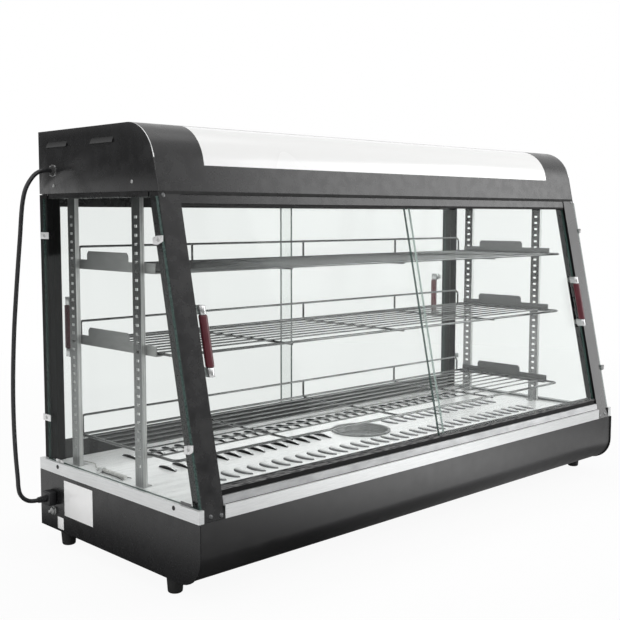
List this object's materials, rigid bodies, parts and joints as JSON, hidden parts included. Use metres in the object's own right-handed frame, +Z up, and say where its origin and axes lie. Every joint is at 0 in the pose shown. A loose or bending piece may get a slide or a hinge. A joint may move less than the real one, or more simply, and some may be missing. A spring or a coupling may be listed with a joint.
{
  "type": "pastry warmer",
  "caption": "Long countertop pastry warmer with a dark base, sloped sliding glass front, wire shelves on slotted standards, louvred floor and a curved lit hood.",
  "frame": {"origin": "centre of the bounding box in plan, at the underside of the feet, measured without the link cord", "axes": "+X along the long front to the right as seen from the front, +Y from the sloped front to the back, +Z up"},
  "size_m": [1.2772, 0.4924, 0.7408],
  "materials": {
    "black_sheet": "gloss",
    "stainless_trim": "brushed",
    "bright_floor": "satin",
    "black_track": "matte",
    "clear_glass": "clear",
    "chrome_handle": "polished",
    "maroon_plastic": "gloss",
    "plated_steel": "satin",
    "chrome_wire": "polished",
    "black_rubber": "matte",
    "white_acrylic": "gloss",
    "white_paint": "satin",
    "element_steel": "oxidised",
    "nickel_bulb": "satin",
    "cord_jacket": "satin",
    "black_plastic": "satin"
  },
  "bodies": {
    "case": {"base_shell": "black_sheet", "base_end_left": "black_sheet", "base_end_right": "black_sheet", "foot_front_left": "black_rubber", "foot_rear_left": "black_rubber", "foot_front_right": "black_rubber", "foot_rear_right": "black_rubber", "base_trim": "stainless_trim", "floor_plate": "bright_floor", "water_dish": "stainless_trim", "heating_element": "element_steel", "thermostat_bulb": "nickel_bulb", "front_pillar_left": "black_sheet", "rear_post_left": "black_sheet", "front_pillar_right": "black_sheet", "rear_post_right": "black_sheet", "rear_track_bottom": "black_track", "top_frame": "black_sheet", "front_track_bottom": "black_track", "front_track_top": "black_track", "end_glass_left": "clear_glass", "end_glass_right": "clear_glass", "standard_front_left": "plated_steel", "standard_rear_left": "plated_steel", "standard_front_right": "plated_steel", "standard_rear_right": "plated_steel", "bracket_top_left": "plated_steel", "bracket_middle_left": "plated_steel", "bracket_top_right": "plated_steel", "bracket_middle_right": "plated_steel", "bracket_lower_right": "plated_steel", "shelf_top": "chrome_wire", "shelf_middle": "chrome_wire", "shelf_lower": "chrome_wire", "hood_end_left": "black_sheet", "hood_end_right": "black_sheet", "hood_fascia": "black_sheet", "hood_cover": "black_sheet", "light_window": "white_acrylic", "lamp_fitting": "white_paint", "lamp_tube": "white_acrylic", "link_cord": "cord_jacket", "cord_grommet": "black_rubber", "link_plug": "black_plastic", "mains_gland": "black_plastic"},
    "front_door_left": {"front_door_left": "clear_glass", "front_door_left_handle_bar": "chrome_handle", "front_door_left_handle_grip": "maroon_plastic"},
    "front_door_right": {"front_door_right": "clear_glass", "front_door_right_handle_bar": "chrome_handle", "front_door_right_handle_grip": "maroon_plastic"},
    "rear_door_left": {"rear_door_left": "clear_glass", "rear_door_left_handle_bar": "chrome_handle", "rear_door_left_handle_grip": "maroon_plastic"},
    "rear_door_right": {"rear_door_right": "clear_glass", "rear_door_right_handle_bar": "chrome_handle", "rear_door_right_handle_grip": "maroon_plastic"},
    "knob": {"thermostat_knob": "black_plastic"},
    "lamp_rocker": {"lamp_switch": "maroon_plastic"},
    "heater_rocker": {"heater_switch": "maroon_plastic"}
  },
  "joints": [
    {"name": "front_door_left_slide", "type": "slide", "parent": "case", "child": "front_door_left", "axis": [1, 0, 0], "range_m": [0, 0.515]},
    {"name": "front_door_right_slide", "type": "slide", "parent": "case", "child": "front_door_right", "axis": [1, 0, 0], "range_m": [-0.515, 0]},
    {"name": "rear_door_left_slide", "type": "slide", "parent": "case", "child": "rear_door_left", "axis": [1, 0, 0], "range_m": [0, 0.515]},
    {"name": "rear_door_right_slide", "type": "slide", "parent": "case", "child": "rear_door_right", "axis": [1, 0, 0], "range_m": [-0.515, 0]},
    {"name": "thermostat_turn", "type": "hinge", "parent": "case", "child": "knob", "pos_m": [-0.47, 0.22885, 0.082], "axis": [0, -1, 0], "range_deg": [0, 270]},
    {"name": "lamp_rock", "type": "hinge", "parent": "case", "child": "lamp_rocker", "pos_m": [-0.4, 0.22885, 0.082], "axis": [1, 0, 0], "range_deg": [0, 18]},
    {"name": "heater_rock", "type": "hinge", "parent": "case", "child": "heater_rocker", "pos_m": [-0.36, 0.22885, 0.082], "axis": [1, 0, 0], "range_deg": [0, 18]}
  ]
}
